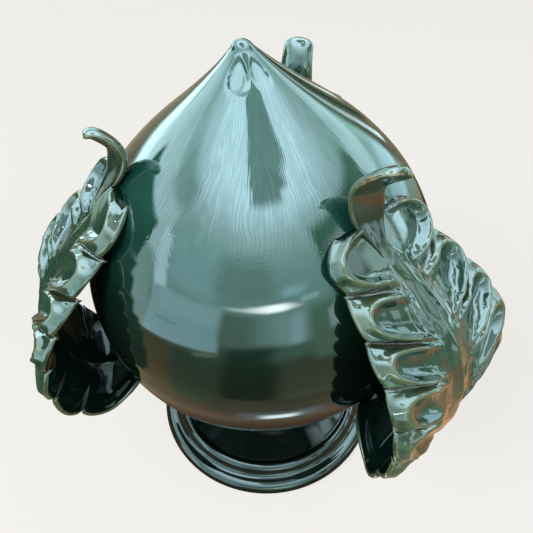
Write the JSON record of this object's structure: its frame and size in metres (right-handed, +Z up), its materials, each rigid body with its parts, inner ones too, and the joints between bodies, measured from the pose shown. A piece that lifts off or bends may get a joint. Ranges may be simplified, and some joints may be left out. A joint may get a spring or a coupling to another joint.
{
  "type": "ceramic pumo",
  "caption": "Glazed ceramic flower-bud finial on a round pedestal foot, wrapped by curled acanthus leaves with hooked strap stems.",
  "frame": {"origin": "middle of the foot's flat underside", "axes": "+Z up through the bud's axis, +Y towards the back leaf, the other two leaves at -30 and 210 degrees from +X"},
  "size_m": [0.2355, 0.2104, 0.2483],
  "materials": {
    "bud_glaze": "deep glossy green glaze",
    "foot_glaze": "near-black green gloss",
    "leaf_glaze": "mottled green gloss",
    "stem_glaze": "olive gloss with pale edges"
  },
  "bodies": {
    "root": {"foot": "foot_glaze", "bud": "bud_glaze", "leaf_back": "leaf_glaze", "leaf_left": "leaf_glaze", "leaf_right": "leaf_glaze", "stem_back": "stem_glaze", "stem_left": "stem_glaze", "stem_right": "stem_glaze"}
  },
  "joints": []
}
